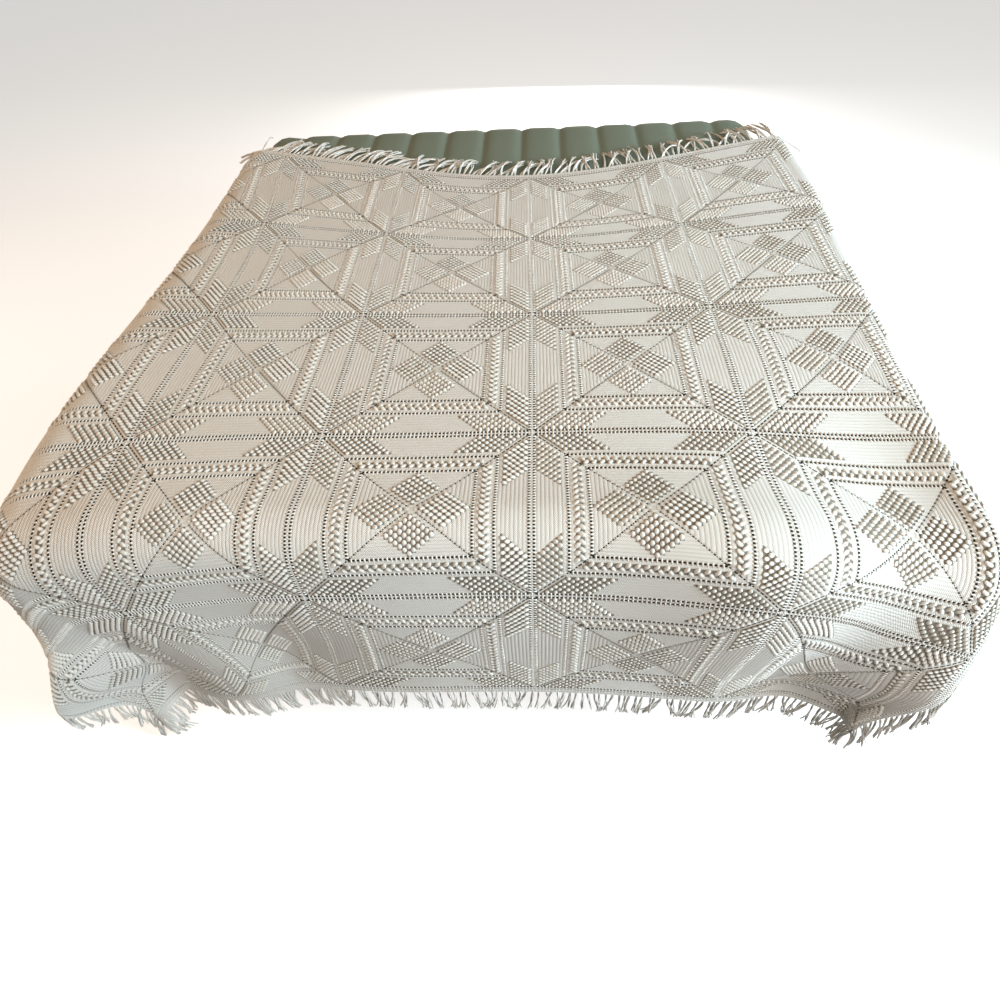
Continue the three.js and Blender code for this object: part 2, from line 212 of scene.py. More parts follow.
# Every corner of the mesh keeps its place on the flat blanket, so that the pattern follows the cloth.
flat_places = np.tile(np.stack((sheet_column, sheet_row), 1), (2, 1))
loop_points = np.empty(len(blanket.data.loops), int)
blanket.data.loops.foreach_get("vertex_index", loop_points)
flat_map = blanket.data.uv_layers.new(name="flat_blanket")
flat_map.data.foreach_set("uv", flat_places[loop_points].ravel())

# Rounds: each block is worked from its middle outwards, one round of stitches after another.
ROUNDS = 27.6
EYELET_ROUNDS = (14, 19, 27)
BORDER_EYELETS = (28.5, 29.5)
STITCH = 0.5 / ROUNDS
EYELET_HALF = 0.29
DIAGONAL_HALF = 0.27
DASH = (0.13, 0.87)
HEM_GUARD = 1e-4

# Beds of the popcorn motifs, in rounds outwards, in stitches sideways or from the diagonal.
DIAMOND_MIDDLE = 7.6
DIAMOND_HALF = 6.4
STAR_ROUNDS = (20.4, 26.6)
STAR_FROM_DIAGONAL = (1.0, 13.0)
BAND_SPAN = (15.3, 18.0)
BAND_END = 15.4


def fresh_material(name):
    material = bpy.data.materials.new(name)
    material.use_nodes = True
    nodes = material.node_tree.nodes
    return material, nodes, material.node_tree.links, nodes["Principled BSDF"]


def maths(material, operation, *values):
    """A chain link of plain arithmetic in a material."""
    node = material.node_tree.nodes.new("ShaderNodeMath")
    node.operation = operation
    for socket, value in zip(node.inputs, values):
        if isinstance(value, (int, float)):
            socket.default_value = value
        else:
            material.node_tree.links.new(value, socket)
    return node.outputs[0]


def yarn_bump(material, shader, scale, depth):
    """Fine twisted-yarn grain on a cotton surface."""
    nodes, links = material.node_tree.nodes, material.node_tree.links
    place = nodes.new("ShaderNodeTexCoord")
    grain = nodes.new("ShaderNodeTexNoise")
    grain.inputs["Scale"].default_value = scale
    grain.inputs["Detail"].default_value = 3
    bump = nodes.new("ShaderNodeBump")
    bump.inputs["Strength"].default_value = 0.6
    bump.inputs["Distance"].default_value = depth
    links.new(place.outputs["Object"], grain.inputs["Vector"])
    links.new(grain.outputs["Fac"], bump.inputs["Height"])
    links.new(bump.outputs["Normal"], shader.inputs["Normal"])
    return grain.outputs["Fac"]


ground_cotton, nodes, links, shader = fresh_material("crochet_ground")
flat = nodes.new("ShaderNodeUVMap")
flat.uv_map = "flat_blanket"
parts = nodes.new("ShaderNodeSeparateXYZ")
links.new(flat.outputs["UV"], parts.inputs["Vector"])
offsets, from_middle = [], []
for axis in ("X", "Y"):
    not_before = maths(ground_cotton, "MAXIMUM", parts.outputs[axis], HEM_GUARD)
    on_blocks = maths(ground_cotton, "MINIMUM", not_before, BLOCKS - HEM_GUARD)
    inside = maths(ground_cotton, "FRACT", on_blocks)
    offsets.append(maths(ground_cotton, "ABSOLUTE", maths(ground_cotton, "SUBTRACT", inside, 0.5)))
    centred = maths(ground_cotton, "SUBTRACT", parts.outputs[axis], BLOCKS / 2)
    from_middle.append(maths(ground_cotton, "ABSOLUTE", centred))
outermost = maths(ground_cotton, "MAXIMUM", *from_middle)
beyond = maths(ground_cotton, "MAXIMUM", maths(ground_cotton, "SUBTRACT", outermost, BLOCKS / 2), 0)
far_side = maths(ground_cotton, "ADD", maths(ground_cotton, "MAXIMUM", *offsets), beyond)
near_side = maths(ground_cotton, "MINIMUM", *offsets)
this_round = maths(ground_cotton, "DIVIDE", far_side, STITCH)
this_stitch = maths(ground_cotton, "DIVIDE", near_side, STITCH)
to_diagonal = maths(ground_cotton, "SUBTRACT", this_round, this_stitch)


def within(value, low, high):
    """One where a value lies in a span, and zero elsewhere."""
    middle, half = (low + high) / 2, (high - low) / 2
    return maths(ground_cotton, "COMPARE", value, middle, half)


on_diagonal = within(to_diagonal, -DIAGONAL_HALF, DIAGONAL_HALF)
diagonal = maths(ground_cotton, "MULTIPLY", on_diagonal, within(this_round, 1, EYELET_ROUNDS[-1]))
dashes = within(maths(ground_cotton, "FRACT", this_round), *DASH)
open_work = maths(ground_cotton, "MULTIPLY", diagonal, dashes)
between_posts = within(maths(ground_cotton, "FRACT", this_stitch), 0.5 - EYELET_HALF, 0.5 + EYELET_HALF)
for eyelet_round in EYELET_ROUNDS + BORDER_EYELETS:
    eyelet_row = within(this_round, eyelet_round - EYELET_HALF, eyelet_round + EYELET_HALF)
    eyelets = maths(ground_cotton, "MULTIPLY", eyelet_row, between_posts)
    open_work = maths(ground_cotton, "MAXIMUM", open_work, eyelets)
from_ring = maths(ground_cotton, "SUBTRACT", this_round, DIAMOND_MIDDLE)
from_diamond = maths(ground_cotton, "ADD", maths(ground_cotton, "ABSOLUTE", from_ring), this_stitch)
diamond_bed = within(from_diamond, -1, DIAMOND_HALF)
star_arms = within(to_diagonal, *STAR_FROM_DIAGONAL)
star_bed = maths(ground_cotton, "MULTIPLY", within(this_round, *STAR_ROUNDS), star_arms)
band_length = within(this_stitch, -1, BAND_END)
band_bed = maths(ground_cotton, "MULTIPLY", within(this_round, *BAND_SPAN), band_length)
shaded_motif_bed = maths(ground_cotton, "MAXIMUM", diamond_bed, star_bed)
shaded_motif_bed = maths(ground_cotton, "MAXIMUM", shaded_motif_bed, band_bed)
# Painted shade: the beds of the popcorn motifs are coloured dark brown for the shade that falls in the gaps
# between the popcorns.
shade = nodes.new("ShaderNodeMix")
shade.data_type = "RGBA"
shade.inputs["A"].default_value = (0.74, 0.705, 0.65, 1)
shade.inputs["B"].default_value = (0.26, 0.235, 0.195, 1)
links.new(shaded_motif_bed, shade.inputs["Factor"])
# Painted shade: the eyelet holes and the diagonal dashes are coloured near-black for the shade seen through
# the openings.
painted_hole_shade = nodes.new("ShaderNodeMix")
painted_hole_shade.data_type = "RGBA"
painted_hole_shade.inputs["B"].default_value = (0.012, 0.010, 0.008, 1)
links.new(shade.outputs["Result"], painted_hole_shade.inputs["A"])
links.new(open_work, painted_hole_shade.inputs["Factor"])
links.new(painted_hole_shade.outputs["Result"], shader.inputs["Base Color"])
shader.inputs["Roughness"].default_value = 0.95
yarn_bump(ground_cotton, shader, 900, 0.0006)
blanket.data.materials.append(ground_cotton)
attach(blanket, "root")
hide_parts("blanket")


# Raised cotton: the yarn of every stitch that stands up from the ground, off-white and matt,
# uneven from washing, and painted darker at the foot of each bump as painted shade, where it goes down
# between its neighbours.
raised_cotton, nodes, links, shader = fresh_material("crochet_raised")
grain = yarn_bump(raised_cotton, shader, 1100, 0.0007)
wash = nodes.new("ShaderNodeTexNoise")
wash.inputs["Scale"].default_value = 5
place = nodes.new("ShaderNodeTexCoord")
links.new(place.outputs["Object"], wash.inputs["Vector"])
wash_and_shade_tones = nodes.new("ShaderNodeMix")
wash_and_shade_tones.data_type = "RGBA"
wash_and_shade_tones.inputs["A"].default_value = (0.78, 0.745, 0.69, 1)
wash_and_shade_tones.inputs["B"].default_value = (0.90, 0.875, 0.83, 1)
uneven = maths(raised_cotton, "MULTIPLY", grain, wash.outputs["Fac"])
links.new(maths(raised_cotton, "MULTIPLY", uneven, 2.6), wash_and_shade_tones.inputs["Factor"])
# Painted shade: the foot attribute darkens the yarn's colour towards the foot of each bump.
foot = nodes.new("ShaderNodeAttribute")
foot.attribute_name = "foot"
painted_foot_shade = nodes.new("ShaderNodeMix")
painted_foot_shade.data_type = "RGBA"
painted_foot_shade.inputs["B"].default_value = (0.31, 0.275, 0.225, 1)
links.new(foot.outputs["Fac"], painted_foot_shade.inputs["Factor"])
links.new(wash_and_shade_tones.outputs["Result"], painted_foot_shade.inputs["A"])
links.new(painted_foot_shade.outputs["Result"], shader.inputs["Base Color"])
shader.inputs["Roughness"].default_value = 0.9
shader.inputs["Sheen Weight"].default_value = 0.15


# Ribs: the ridge that each round of plain stitches leaves, parallel to the block's edge.
# They stop at the eyelet rows, the diagonals and the popcorn motifs, and run on round the border.
RIB_RISE = 0.0013
RIB_FOOT = 0.0003
RIB_HALF = 0.5
RIB_PIECE = 2.0
RIB_SHORTEST = 0.5
RIB_STOP = 0.42
JOIN_HALF = 0.4
JOIN_RISE = 0.0010
DIAMOND_ENDS = (1.5, 13.5)
STAR_RIB_ROUNDS = (21, 26)
STAR_RIB_INSET = 13.2
BORDER_RIBS = (27.8, 29.0, 30.0)
BAND_ROUNDS = (16, 17)
SIDES = ((1, 0), (0, 1), (-1, 0), (0, -1))


def in_block(block, side, outwards, sideways):
    """Place on the flat blanket, from rounds outwards and stitches sideways in one sector of a block."""
    x, y = side
    column = block[0] + 0.5 + (outwards * x - sideways * y) * STITCH
    row = block[1] + 0.5 + (outwards * y + sideways * x) * STITCH
    return column, row


def at_hem(block, side):
    return not all(0 <= b + s < BLOCKS for b, s in zip(block, side))


def plain_stretches(this_round):
    """Where along one side a round is plain, clear of the motifs, counted in stitches from its middle."""
    end = this_round - RIB_STOP
    diamond = min(this_round - DIAMOND_ENDS[0], DIAMOND_ENDS[1] - this_round)
    if diamond > 0:
        return [(diamond, end), (-end, -diamond)]
    if STAR_RIB_ROUNDS[0] <= this_round <= STAR_RIB_ROUNDS[1]:
        inner = this_round - STAR_RIB_INSET
        return [(-inner, inner)]
    return [(-end, end)]


rib_section = ((-RIB_HALF, RIB_FOOT), (0, RIB_RISE), (RIB_HALF, RIB_FOOT))
join_section = ((-JOIN_HALF, -RIB_FOOT), (0, JOIN_RISE))
sectors = [((i, j), side) for j in range(BLOCKS) for i in range(BLOCKS) for side in SIDES]
hem_sectors = [sector for sector in sectors if at_hem(*sector)]
rib_rounds = [k for k in range(1, EYELET_ROUNDS[-1]) if k not in EYELET_ROUNDS + BAND_ROUNDS]
rib_runs = [
    (s, k, begin, end, rib_section)
    for s in sectors
    for k in rib_rounds
    for begin, end in plain_stretches(k)
]
rib_runs += [(s, ROUNDS, -ROUNDS, ROUNDS, join_section) for s in sectors if not at_hem(*s)]
rib_runs += [(s, k, -ROUNDS, ROUNDS, rib_section) for s in hem_sectors for k in BORDER_RIBS]
rib_points, rib_places, rib_faces = [], [], []
rib_total = 0
for sector, this_round, begin, end, section in rib_runs:
    if end - begin < RIB_SHORTEST:
        continue
    count = max(int(math.ceil((end - begin) / RIB_PIECE)), 1)
    sideways = np.linspace(begin, end, count + 1)
    for outwards, height in section:
        column, row = in_block(*sector, this_round + outwards, sideways)
        rib_points.append(drape(column, row) + cloth_normal(column, row) * height)
        rib_places.append(np.stack((sideways, np.full_like(sideways, this_round + outwards)), 1))
    for line in range(len(section) - 1):
        a = rib_total + line * (count + 1) + np.arange(count)
        b = a + count + 1
        rib_faces += np.stack((a, b, b + 1, a + 1), 1).tolist()
    rib_total += len(section) * (count + 1)
ribs = mesh_piece("blanket_ribs", np.concatenate(rib_points), rib_faces)
rib_map = ribs.data.uv_layers.new(name="stitches")
rib_loops = np.empty(len(ribs.data.loops), int)
ribs.data.loops.foreach_get("vertex_index", rib_loops)
rib_map.data.foreach_set("uv", np.concatenate(rib_places)[rib_loops].ravel())

# Two small stitches to every step of the pattern dimple the plain rounds.
plain_cotton, nodes, links, shader = fresh_material("crochet_plain")
stitches = nodes.new("ShaderNodeUVMap")
stitches.uv_map = "stitches"
parts = nodes.new("ShaderNodeSeparateXYZ")
links.new(stitches.outputs["UV"], parts.inputs["Vector"])


def wave(axis, per_step):
    """A wave along one way of the stitches, so many to each step of the pattern."""
    turns = maths(plain_cotton, "MULTIPLY", parts.outputs[axis], 2 * math.pi * per_step)
    return maths(plain_cotton, "COSINE", turns)


# Painted shade: the rib colour follows the relief, lighter on each rib's crest and on the tops of the
# stitches, darker in the grooves and dimples between them.
dimple = maths(plain_cotton, "MULTIPLY", wave("X", 2), wave("Y", 2))
crest = maths(plain_cotton, "MULTIPLY_ADD", wave("Y", 1), 0.10, 0.55)
painted_rib_shade = maths(plain_cotton, "MULTIPLY_ADD", dimple, 0.38, crest)
wash_and_shade_tones = nodes.new("ShaderNodeMix")
wash_and_shade_tones.data_type = "RGBA"
wash_and_shade_tones.inputs["A"].default_value = (0.55, 0.525, 0.48, 1)
wash_and_shade_tones.inputs["B"].default_value = (0.98, 0.96, 0.92, 1)
links.new(painted_rib_shade, wash_and_shade_tones.inputs["Factor"])
links.new(wash_and_shade_tones.outputs["Result"], shader.inputs["Base Color"])
shader.inputs["Roughness"].default_value = 0.92
bump = nodes.new("ShaderNodeBump")
bump.inputs["Strength"].default_value = 0.5
bump.inputs["Distance"].default_value = 0.0007
links.new(dimple, bump.inputs["Height"])
links.new(bump.outputs["Normal"], shader.inputs["Normal"])
ribs.data.materials.append(plain_cotton)
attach(ribs, "root")


# Popcorns: tight clusters of stitches drawn together into a bump, worked in diamonds around the middle
# of each block, in a zigzag band between two eyelet rows and in slanting arms that make the corner stars.
POPCORN_LONG = 0.76 * STITCH * BLOCK
POPCORN_WIDE = 0.60 * STITCH * BLOCK
POPCORN_RISE = 0.48 * STITCH * BLOCK
DROP_LONG = 1.10 * STITCH * BLOCK
DROP_SLANT = 0.60
POPCORN_SIDES = 7
POPCORN_SEED = 4
DIAMOND_START = 2.6
DIAMOND_POPCORNS = 6
STAR_POPCORNS = 6
STAR_APART = 2
STAR_SHIFT = 0.1
OUTWARDS_STEP = 0.3


def stitch_sites(name, groups):
    """Bare points on the cloth, each with the cloth's normal, the way outwards in its block and a slant."""
    positions, normals, outwards_ways, slants = [], [], [], []
    for group_sectors, placed in groups:
        outwards, sideways, slant = (np.array(values, float) for values in zip(*placed))
        for sector in group_sectors:
            column, row = in_block(*sector, outwards, sideways)
            here = drape(column, row)
            further = drape(*in_block(*sector, outwards + OUTWARDS_STEP, sideways))
            positions.append(here)
            normals.append(cloth_normal(column, row))
            outwards_ways.append(unit(further - here))
            slants.append(slant)
    mesh = bpy.data.meshes.new(name)
    mesh.from_pydata([tuple(p) for p in np.concatenate(positions)], [], [])
    for key, values in (("cloth_normal", normals), ("outwards", outwards_ways)):
        vectors = mesh.attributes.new(key, "FLOAT_VECTOR", "POINT")
        vectors.data.foreach_set("vector", np.concatenate(values).ravel())
    mesh.attributes.new("slant", "FLOAT", "POINT").data.foreach_set("value", np.concatenate(slants))
    sites = bpy.data.objects.new(name, mesh)
    bpy.context.scene.collection.objects.link(sites)
    return sites


def planting_tree():
    """Sets one stitch on every point, standing on the cloth, each a little different in size and turn."""
    tree = bpy.data.node_groups.new("planted_stitches", "GeometryNodeTree")
    face = tree.interface
    face.new_socket("Geometry", in_out="INPUT", socket_type="NodeSocketGeometry")
    face.new_socket("Stitch", in_out="INPUT", socket_type="NodeSocketObject")
    face.new_socket("Uneven Size", in_out="INPUT", socket_type="NodeSocketFloat")
    face.new_socket("Uneven Turn", in_out="INPUT", socket_type="NodeSocketFloat")
    face.new_socket("Seed", in_out="INPUT", socket_type="NodeSocketInt")
    face.new_socket("Yarn", in_out="INPUT", socket_type="NodeSocketMaterial")
    face.new_socket("Geometry", in_out="OUTPUT", socket_type="NodeSocketGeometry")
    new, link = tree.nodes.new, tree.links.new
    given, result = new("NodeGroupInput"), new("NodeGroupOutput")

    def attribute(name, kind="FLOAT_VECTOR"):
        node = new("GeometryNodeInputNamedAttribute")
        node.data_type = kind
        node.inputs["Name"].default_value = name
        return node.outputs["Attribute"]

    stand = new("FunctionNodeAxesToRotation")
    stand.primary_axis, stand.secondary_axis = "Z", "X"
    link(attribute("cloth_normal"), stand.inputs["Primary Axis"])
    link(attribute("outwards"), stand.inputs["Secondary Axis"])

    def between(low, high):
        node = new("FunctionNodeRandomValue")
        node.data_type = "FLOAT"
        floats = [s for s in node.inputs if s.enabled and s.name in ("Min", "Max")]
        link(low, floats[0])
        link(high, floats[1])
        link(given.outputs["Seed"], node.inputs["Seed"])
        return [s for s in node.outputs if s.enabled][0]

    def sums(operation, a, b):
        node = new("ShaderNodeMath")
        node.operation = operation
        for socket, value in zip(node.inputs, (a, b)):
            if isinstance(value, (int, float)):
                socket.default_value = value
            else:
                link(value, socket)
        return node.outputs[0]

    less = sums("SUBTRACT", 1.0, given.outputs["Uneven Size"])
    more = sums("ADD", 1.0, given.outputs["Uneven Size"])
    back = sums("MULTIPLY", given.outputs["Uneven Turn"], -1.0)
    size = between(less, more)
    swing = sums("ADD", between(back, given.outputs["Uneven Turn"]), attribute("slant", "FLOAT"))
    about = new("FunctionNodeAxisAngleToRotation")
    about.inputs["Axis"].default_value = (0, 0, 1)
    link(swing, about.inputs["Angle"])
    turned = new("FunctionNodeRotateRotation")
    turned.rotation_space = "LOCAL"
    link(stand.outputs[0], turned.inputs["Rotation"])
    link(about.outputs[0], turned.inputs["Rotate By"])

    shape = new("GeometryNodeObjectInfo")
    link(given.outputs["Stitch"], shape.inputs["Object"])
    plant = new("GeometryNodeInstanceOnPoints")
    link(given.outputs["Geometry"], plant.inputs["Points"])
    link(shape.outputs["Geometry"], plant.inputs["Instance"])
    link(turned.outputs[0], plant.inputs["Rotation"])
    link(size, plant.inputs["Scale"])
    solid = new("GeometryNodeRealizeInstances")
    link(plant.outputs[0], solid.inputs[0])
    dye = new("GeometryNodeSetMaterial")
    link(solid.outputs[0], dye.inputs["Geometry"])
    link(given.outputs["Yarn"], dye.inputs["Material"])
    link(dye.outputs[0], result.inputs["Geometry"])
    return tree


def planted(name, sites, tree, **settings):
    """Runs a tree on the points and keeps its result as a plain mesh."""
    grow = sites.modifiers.new("grow", "NODES")
    grow.node_group = tree
    for item in tree.interface.items_tree:
        if item.in_out == "INPUT" and item.name in settings:
            grow[item.identifier] = settings[item.name]
    ready = sites.evaluated_get(bpy.context.evaluated_depsgraph_get())
    mesh = bpy.data.meshes.new_from_object(ready)
    mesh.name = name
    bpy.data.objects.remove(sites)
    for key in ("cloth_normal", "outwards", "slant", "thickness"):
        if key in mesh.attributes:
            mesh.attributes.remove(mesh.attributes[key])
    piece = bpy.data.objects.new(name, mesh)
    bpy.context.scene.collection.objects.link(piece)
    return piece


def dome(name, long, wide, rise, rings, around):
    """A bump: rings of (share of size, height, lean, tilt, foot), with its open foot sunk in the cloth. The
    foot number is painted shade: it darkens the colour towards the bump's foot.
    """
    points, faces = [], []
    for share, height, lean, tilt, _ in rings:
        for k in range(around):
            turn = 2 * math.pi * (k + 0.5) / around
            x = long * (share * math.cos(turn) + lean)
            points.append((x, wide * share * math.sin(turn), rise * (height - tilt * math.cos(turn))))
    for ring in range(len(rings) - 1):
        for k in range(around):
            a, b = ring * around + k, ring * around + (k + 1) % around
            faces.append((a, b, b + around, a + around))
    crown = (len(rings) - 1) * around
    points.append((long * rings[-1][2], 0, rise))
    faces += [(crown + k, crown + (k + 1) % around, len(points) - 1) for k in range(around)]
    bump = mesh_piece(name, points, faces)
    foot = [ring[4] for ring in rings for _ in range(around)] + [0.0]
    bump.data.attributes.new("foot", "FLOAT", "POINT").data.foreach_set("value", foot)
    return bump


# A popcorn stands up steeply towards the block's middle and falls away outwards.
# The last number of each ring is painted shade, full at the popcorn's foot and none at its crown.
popcorn_rings = [(0.96, -0.35, 0, 0, 1.0), (1.0, 0.36, 0, 0.34, 0.45), (0.66, 0.78, -0.16, 0.26, 0.0)]
popcorn = dome("popcorn_shape", POPCORN_LONG, POPCORN_WIDE, POPCORN_RISE, popcorn_rings, POPCORN_SIDES)
diamond_steps = range(DIAMOND_POPCORNS)
diamond_sites = [(DIAMOND_START + i + j, i - j, 0) for i in diamond_steps for j in diamond_steps]
star_sites = [
    (k + STAR_SHIFT, hand * (k - STAR_APART * (n + 1)), 0)
    for k in range(STAR_RIB_ROUNDS[0], STAR_RIB_ROUNDS[1] + 1)
    for n in range(STAR_POPCORNS)
    for hand in (1, -1)
]
planting = planting_tree()
for block_row in range(BLOCKS):
    row_sectors = [sector for sector in sectors if sector[0][1] == block_row]
    sites = stitch_sites(f"popcorn_sites_{block_row}", [(row_sectors, diamond_sites + star_sites)])
    piece = planted(
        f"popcorns_row_{block_row + 1}",
        sites,
        planting,
        **{
            "Stitch": popcorn,
            "Uneven Size": 0.07,
            "Uneven Turn": 0.16,
            "Seed": POPCORN_SEED + block_row,
            "Yarn": raised_cotton,
        },
    )
    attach(piece, "root")
bpy.data.objects.remove(popcorn)

# The band between the two eyelet rows is a herringbone of longer drops, each row leaning its own way.
# A row has its rounds outwards, its last stitch sideways and the slant of its drops.
ZIGZAG_ROWS = ((16.1, 14, -DROP_SLANT), (17.3, 15, DROP_SLANT))
ZIGZAG_APART = 2
drop = dome("drop_shape", DROP_LONG, POPCORN_WIDE, POPCORN_RISE, popcorn_rings, POPCORN_SIDES)
zigzag_sites = [
    (outwards, t, slant)
    for outwards, last, slant in ZIGZAG_ROWS
    for t in range(-last, last + 1, ZIGZAG_APART)
]
zigzags = planted(
    "zigzag_bands",
    stitch_sites("zigzag_sites", [(sectors, zigzag_sites)]),
    planting,
    **{
        "Stitch": drop,
        "Uneven Size": 0.06,
        "Uneven Turn": 0.12,
        "Seed": POPCORN_SEED + BLOCKS,
        "Yarn": raised_cotton,
    },
)
bpy.data.objects.remove(drop)
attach(zigzags, "root")


# Eyelet posts: the upright stitches that stand between the holes of every eyelet row,
# along three rounds of each side of a block and twice round the border.
POST_SEED = 21
POST_HALF_LENGTH = 0.55 * STITCH * BLOCK
POST_HALF_WIDTH = 0.22 * STITCH * BLOCK
POST_RISE = 0.0011
POST_SUNK = -0.0005
post = mesh_piece(
    "post_shape",
    [
        (x * POST_HALF_LENGTH, y * POST_HALF_WIDTH, z)
        for x in (-1, 1)
        for y, z in ((-1, POST_SUNK), (-0.5, POST_RISE), (0.5, POST_RISE), (1, POST_SUNK))
    ],
    [(0, 4, 5, 1), (1, 5, 6, 2), (2, 6, 7, 3), (0, 1, 2, 3), (7, 6, 5, 4)],
)
post_sites = [(k, t, 0) for k in EYELET_ROUNDS for t in range(1 - k, k)]
block_end = EYELET_ROUNDS[-1]
border_post_sites = [(k, t, 0) for k in BORDER_EYELETS for t in range(-block_end, block_end + 1)]
posts = planted(
    "eyelet_posts",
    stitch_sites("post_sites", [(sectors, post_sites), (hem_sectors, border_post_sites)]),
    planting,
    **{"Stitch": post, "Uneven Size": 0.06, "Uneven Turn": 0.08, "Seed": POST_SEED, "Yarn": raised_cotton},
)
bpy.data.objects.remove(post)
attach(posts, "root")


# Fringe: locks of cut cotton yarn knotted into all four hems. On three sides they hang,
# and along the back hem they lie loose and tangled on the bed.
FRINGE_LENGTH = 0.085
YARN_RADIUS = 0.0018
LOCK_RADIUS = 0.0015
LOCK_TWIST = 5.0
LOCKS_PER_SIDE = 150
TIP_GAP = 0.012
YARNS_PER_LOCK = 3
YARN_POINTS = 8
FRINGE_SEED = 11
HEM_STEP = 0.002
FLAT_ENOUGH = 0.97
LOOSE_RISE = 0.010
LYING_LEAN = 0.28
LYING_DRIFT = 0.7
HANGING_LEAN = 0.10
HANGING_CURL = 0.4
LOCK_CURL = 0.08
UNEVEN_LENGTH = 0.05
YARN_STRAY = 0.03
YARN_CURL = 0.015
LOCK_SHIFT = 0.2
UNEVEN_RISE = 0.6
SOFT_SLOPE = 0.05
ROOT_DEPTH = 0.4
ROOT_THICK = 1.2
KNOT_THICK = 1.15
TIP_TAPER = 0.2
ROOT_FALL = 0.7
MORE_FALL = 0.3
LYING_GAP = 0.0015
lying_height = mattress_high[2] + LYING_GAP


def from_first(share):
    return first_edge + share * (last_edge - first_edge)


# Each hem runs so that the cloth lies on its left hand, seen from above.
HEMS = {
    "front": lambda share: (from_first(share), np.full_like(share, last_edge)),
    "back": lambda share: (from_first(1 - share), np.full_like(share, first_edge)),
    "left": lambda share: (np.full_like(share, first_edge), from_first(share)),
    "right": lambda share: (np.full_like(share, last_edge), from_first(1 - share)),
}


def yarn_tree():
    """Gives every line of points the round body of a yarn."""
    tree = bpy.data.node_groups.new("fringe_yarns", "GeometryNodeTree")
    face = tree.interface
    face.new_socket("Geometry", in_out="INPUT", socket_type="NodeSocketGeometry")
    face.new_socket("Yarn Radius", in_out="INPUT", socket_type="NodeSocketFloat")
    face.new_socket("Yarn", in_out="INPUT", socket_type="NodeSocketMaterial")
    face.new_socket("Geometry", in_out="OUTPUT", socket_type="NodeSocketGeometry")
    new, link = tree.nodes.new, tree.links.new
    given, result = new("NodeGroupInput"), new("NodeGroupOutput")
    line = new("GeometryNodeMeshToCurve")
    link(given.outputs["Geometry"], line.inputs["Mesh"])
    thickness = new("GeometryNodeInputNamedAttribute")
    thickness.data_type = "FLOAT"
    thickness.inputs["Name"].default_value = "thickness"
    taper = new("GeometryNodeSetCurveRadius")
    link(line.outputs[0], taper.inputs["Curve"])
    link(thickness.outputs["Attribute"], taper.inputs["Radius"])
    ring = new("GeometryNodeCurvePrimitiveCircle")
    ring.inputs["Resolution"].default_value = 3
    link(given.outputs["Yarn Radius"], ring.inputs["Radius"])
    body = new("GeometryNodeCurveToMesh")
    body.inputs["Fill Caps"].default_value = True
    link(taper.outputs[0], body.inputs["Curve"])
    link(ring.outputs[0], body.inputs["Profile Curve"])
    smooth = new("GeometryNodeSetShadeSmooth")
    link(body.outputs[0], smooth.inputs["Geometry"])
    solid = new("GeometryNodeRealizeInstances")
    link(smooth.outputs[0], solid.inputs[0])
    dye = new("GeometryNodeSetMaterial")
    link(solid.outputs[0], dye.inputs["Geometry"])
    link(given.outputs["Yarn"], dye.inputs["Material"])
    link(dye.outputs[0], result.inputs["Geometry"])
    return tree


yarning = yarn_tree()
chance = np.random.default_rng(FRINGE_SEED)
down = np.array((0, 0, -1.0))


def by_lock(spread):
    """A chance value for each lock, the same for all its yarns."""
    return np.repeat(chance.normal(0, spread, LOCKS_PER_SIDE), YARNS_PER_LOCK)


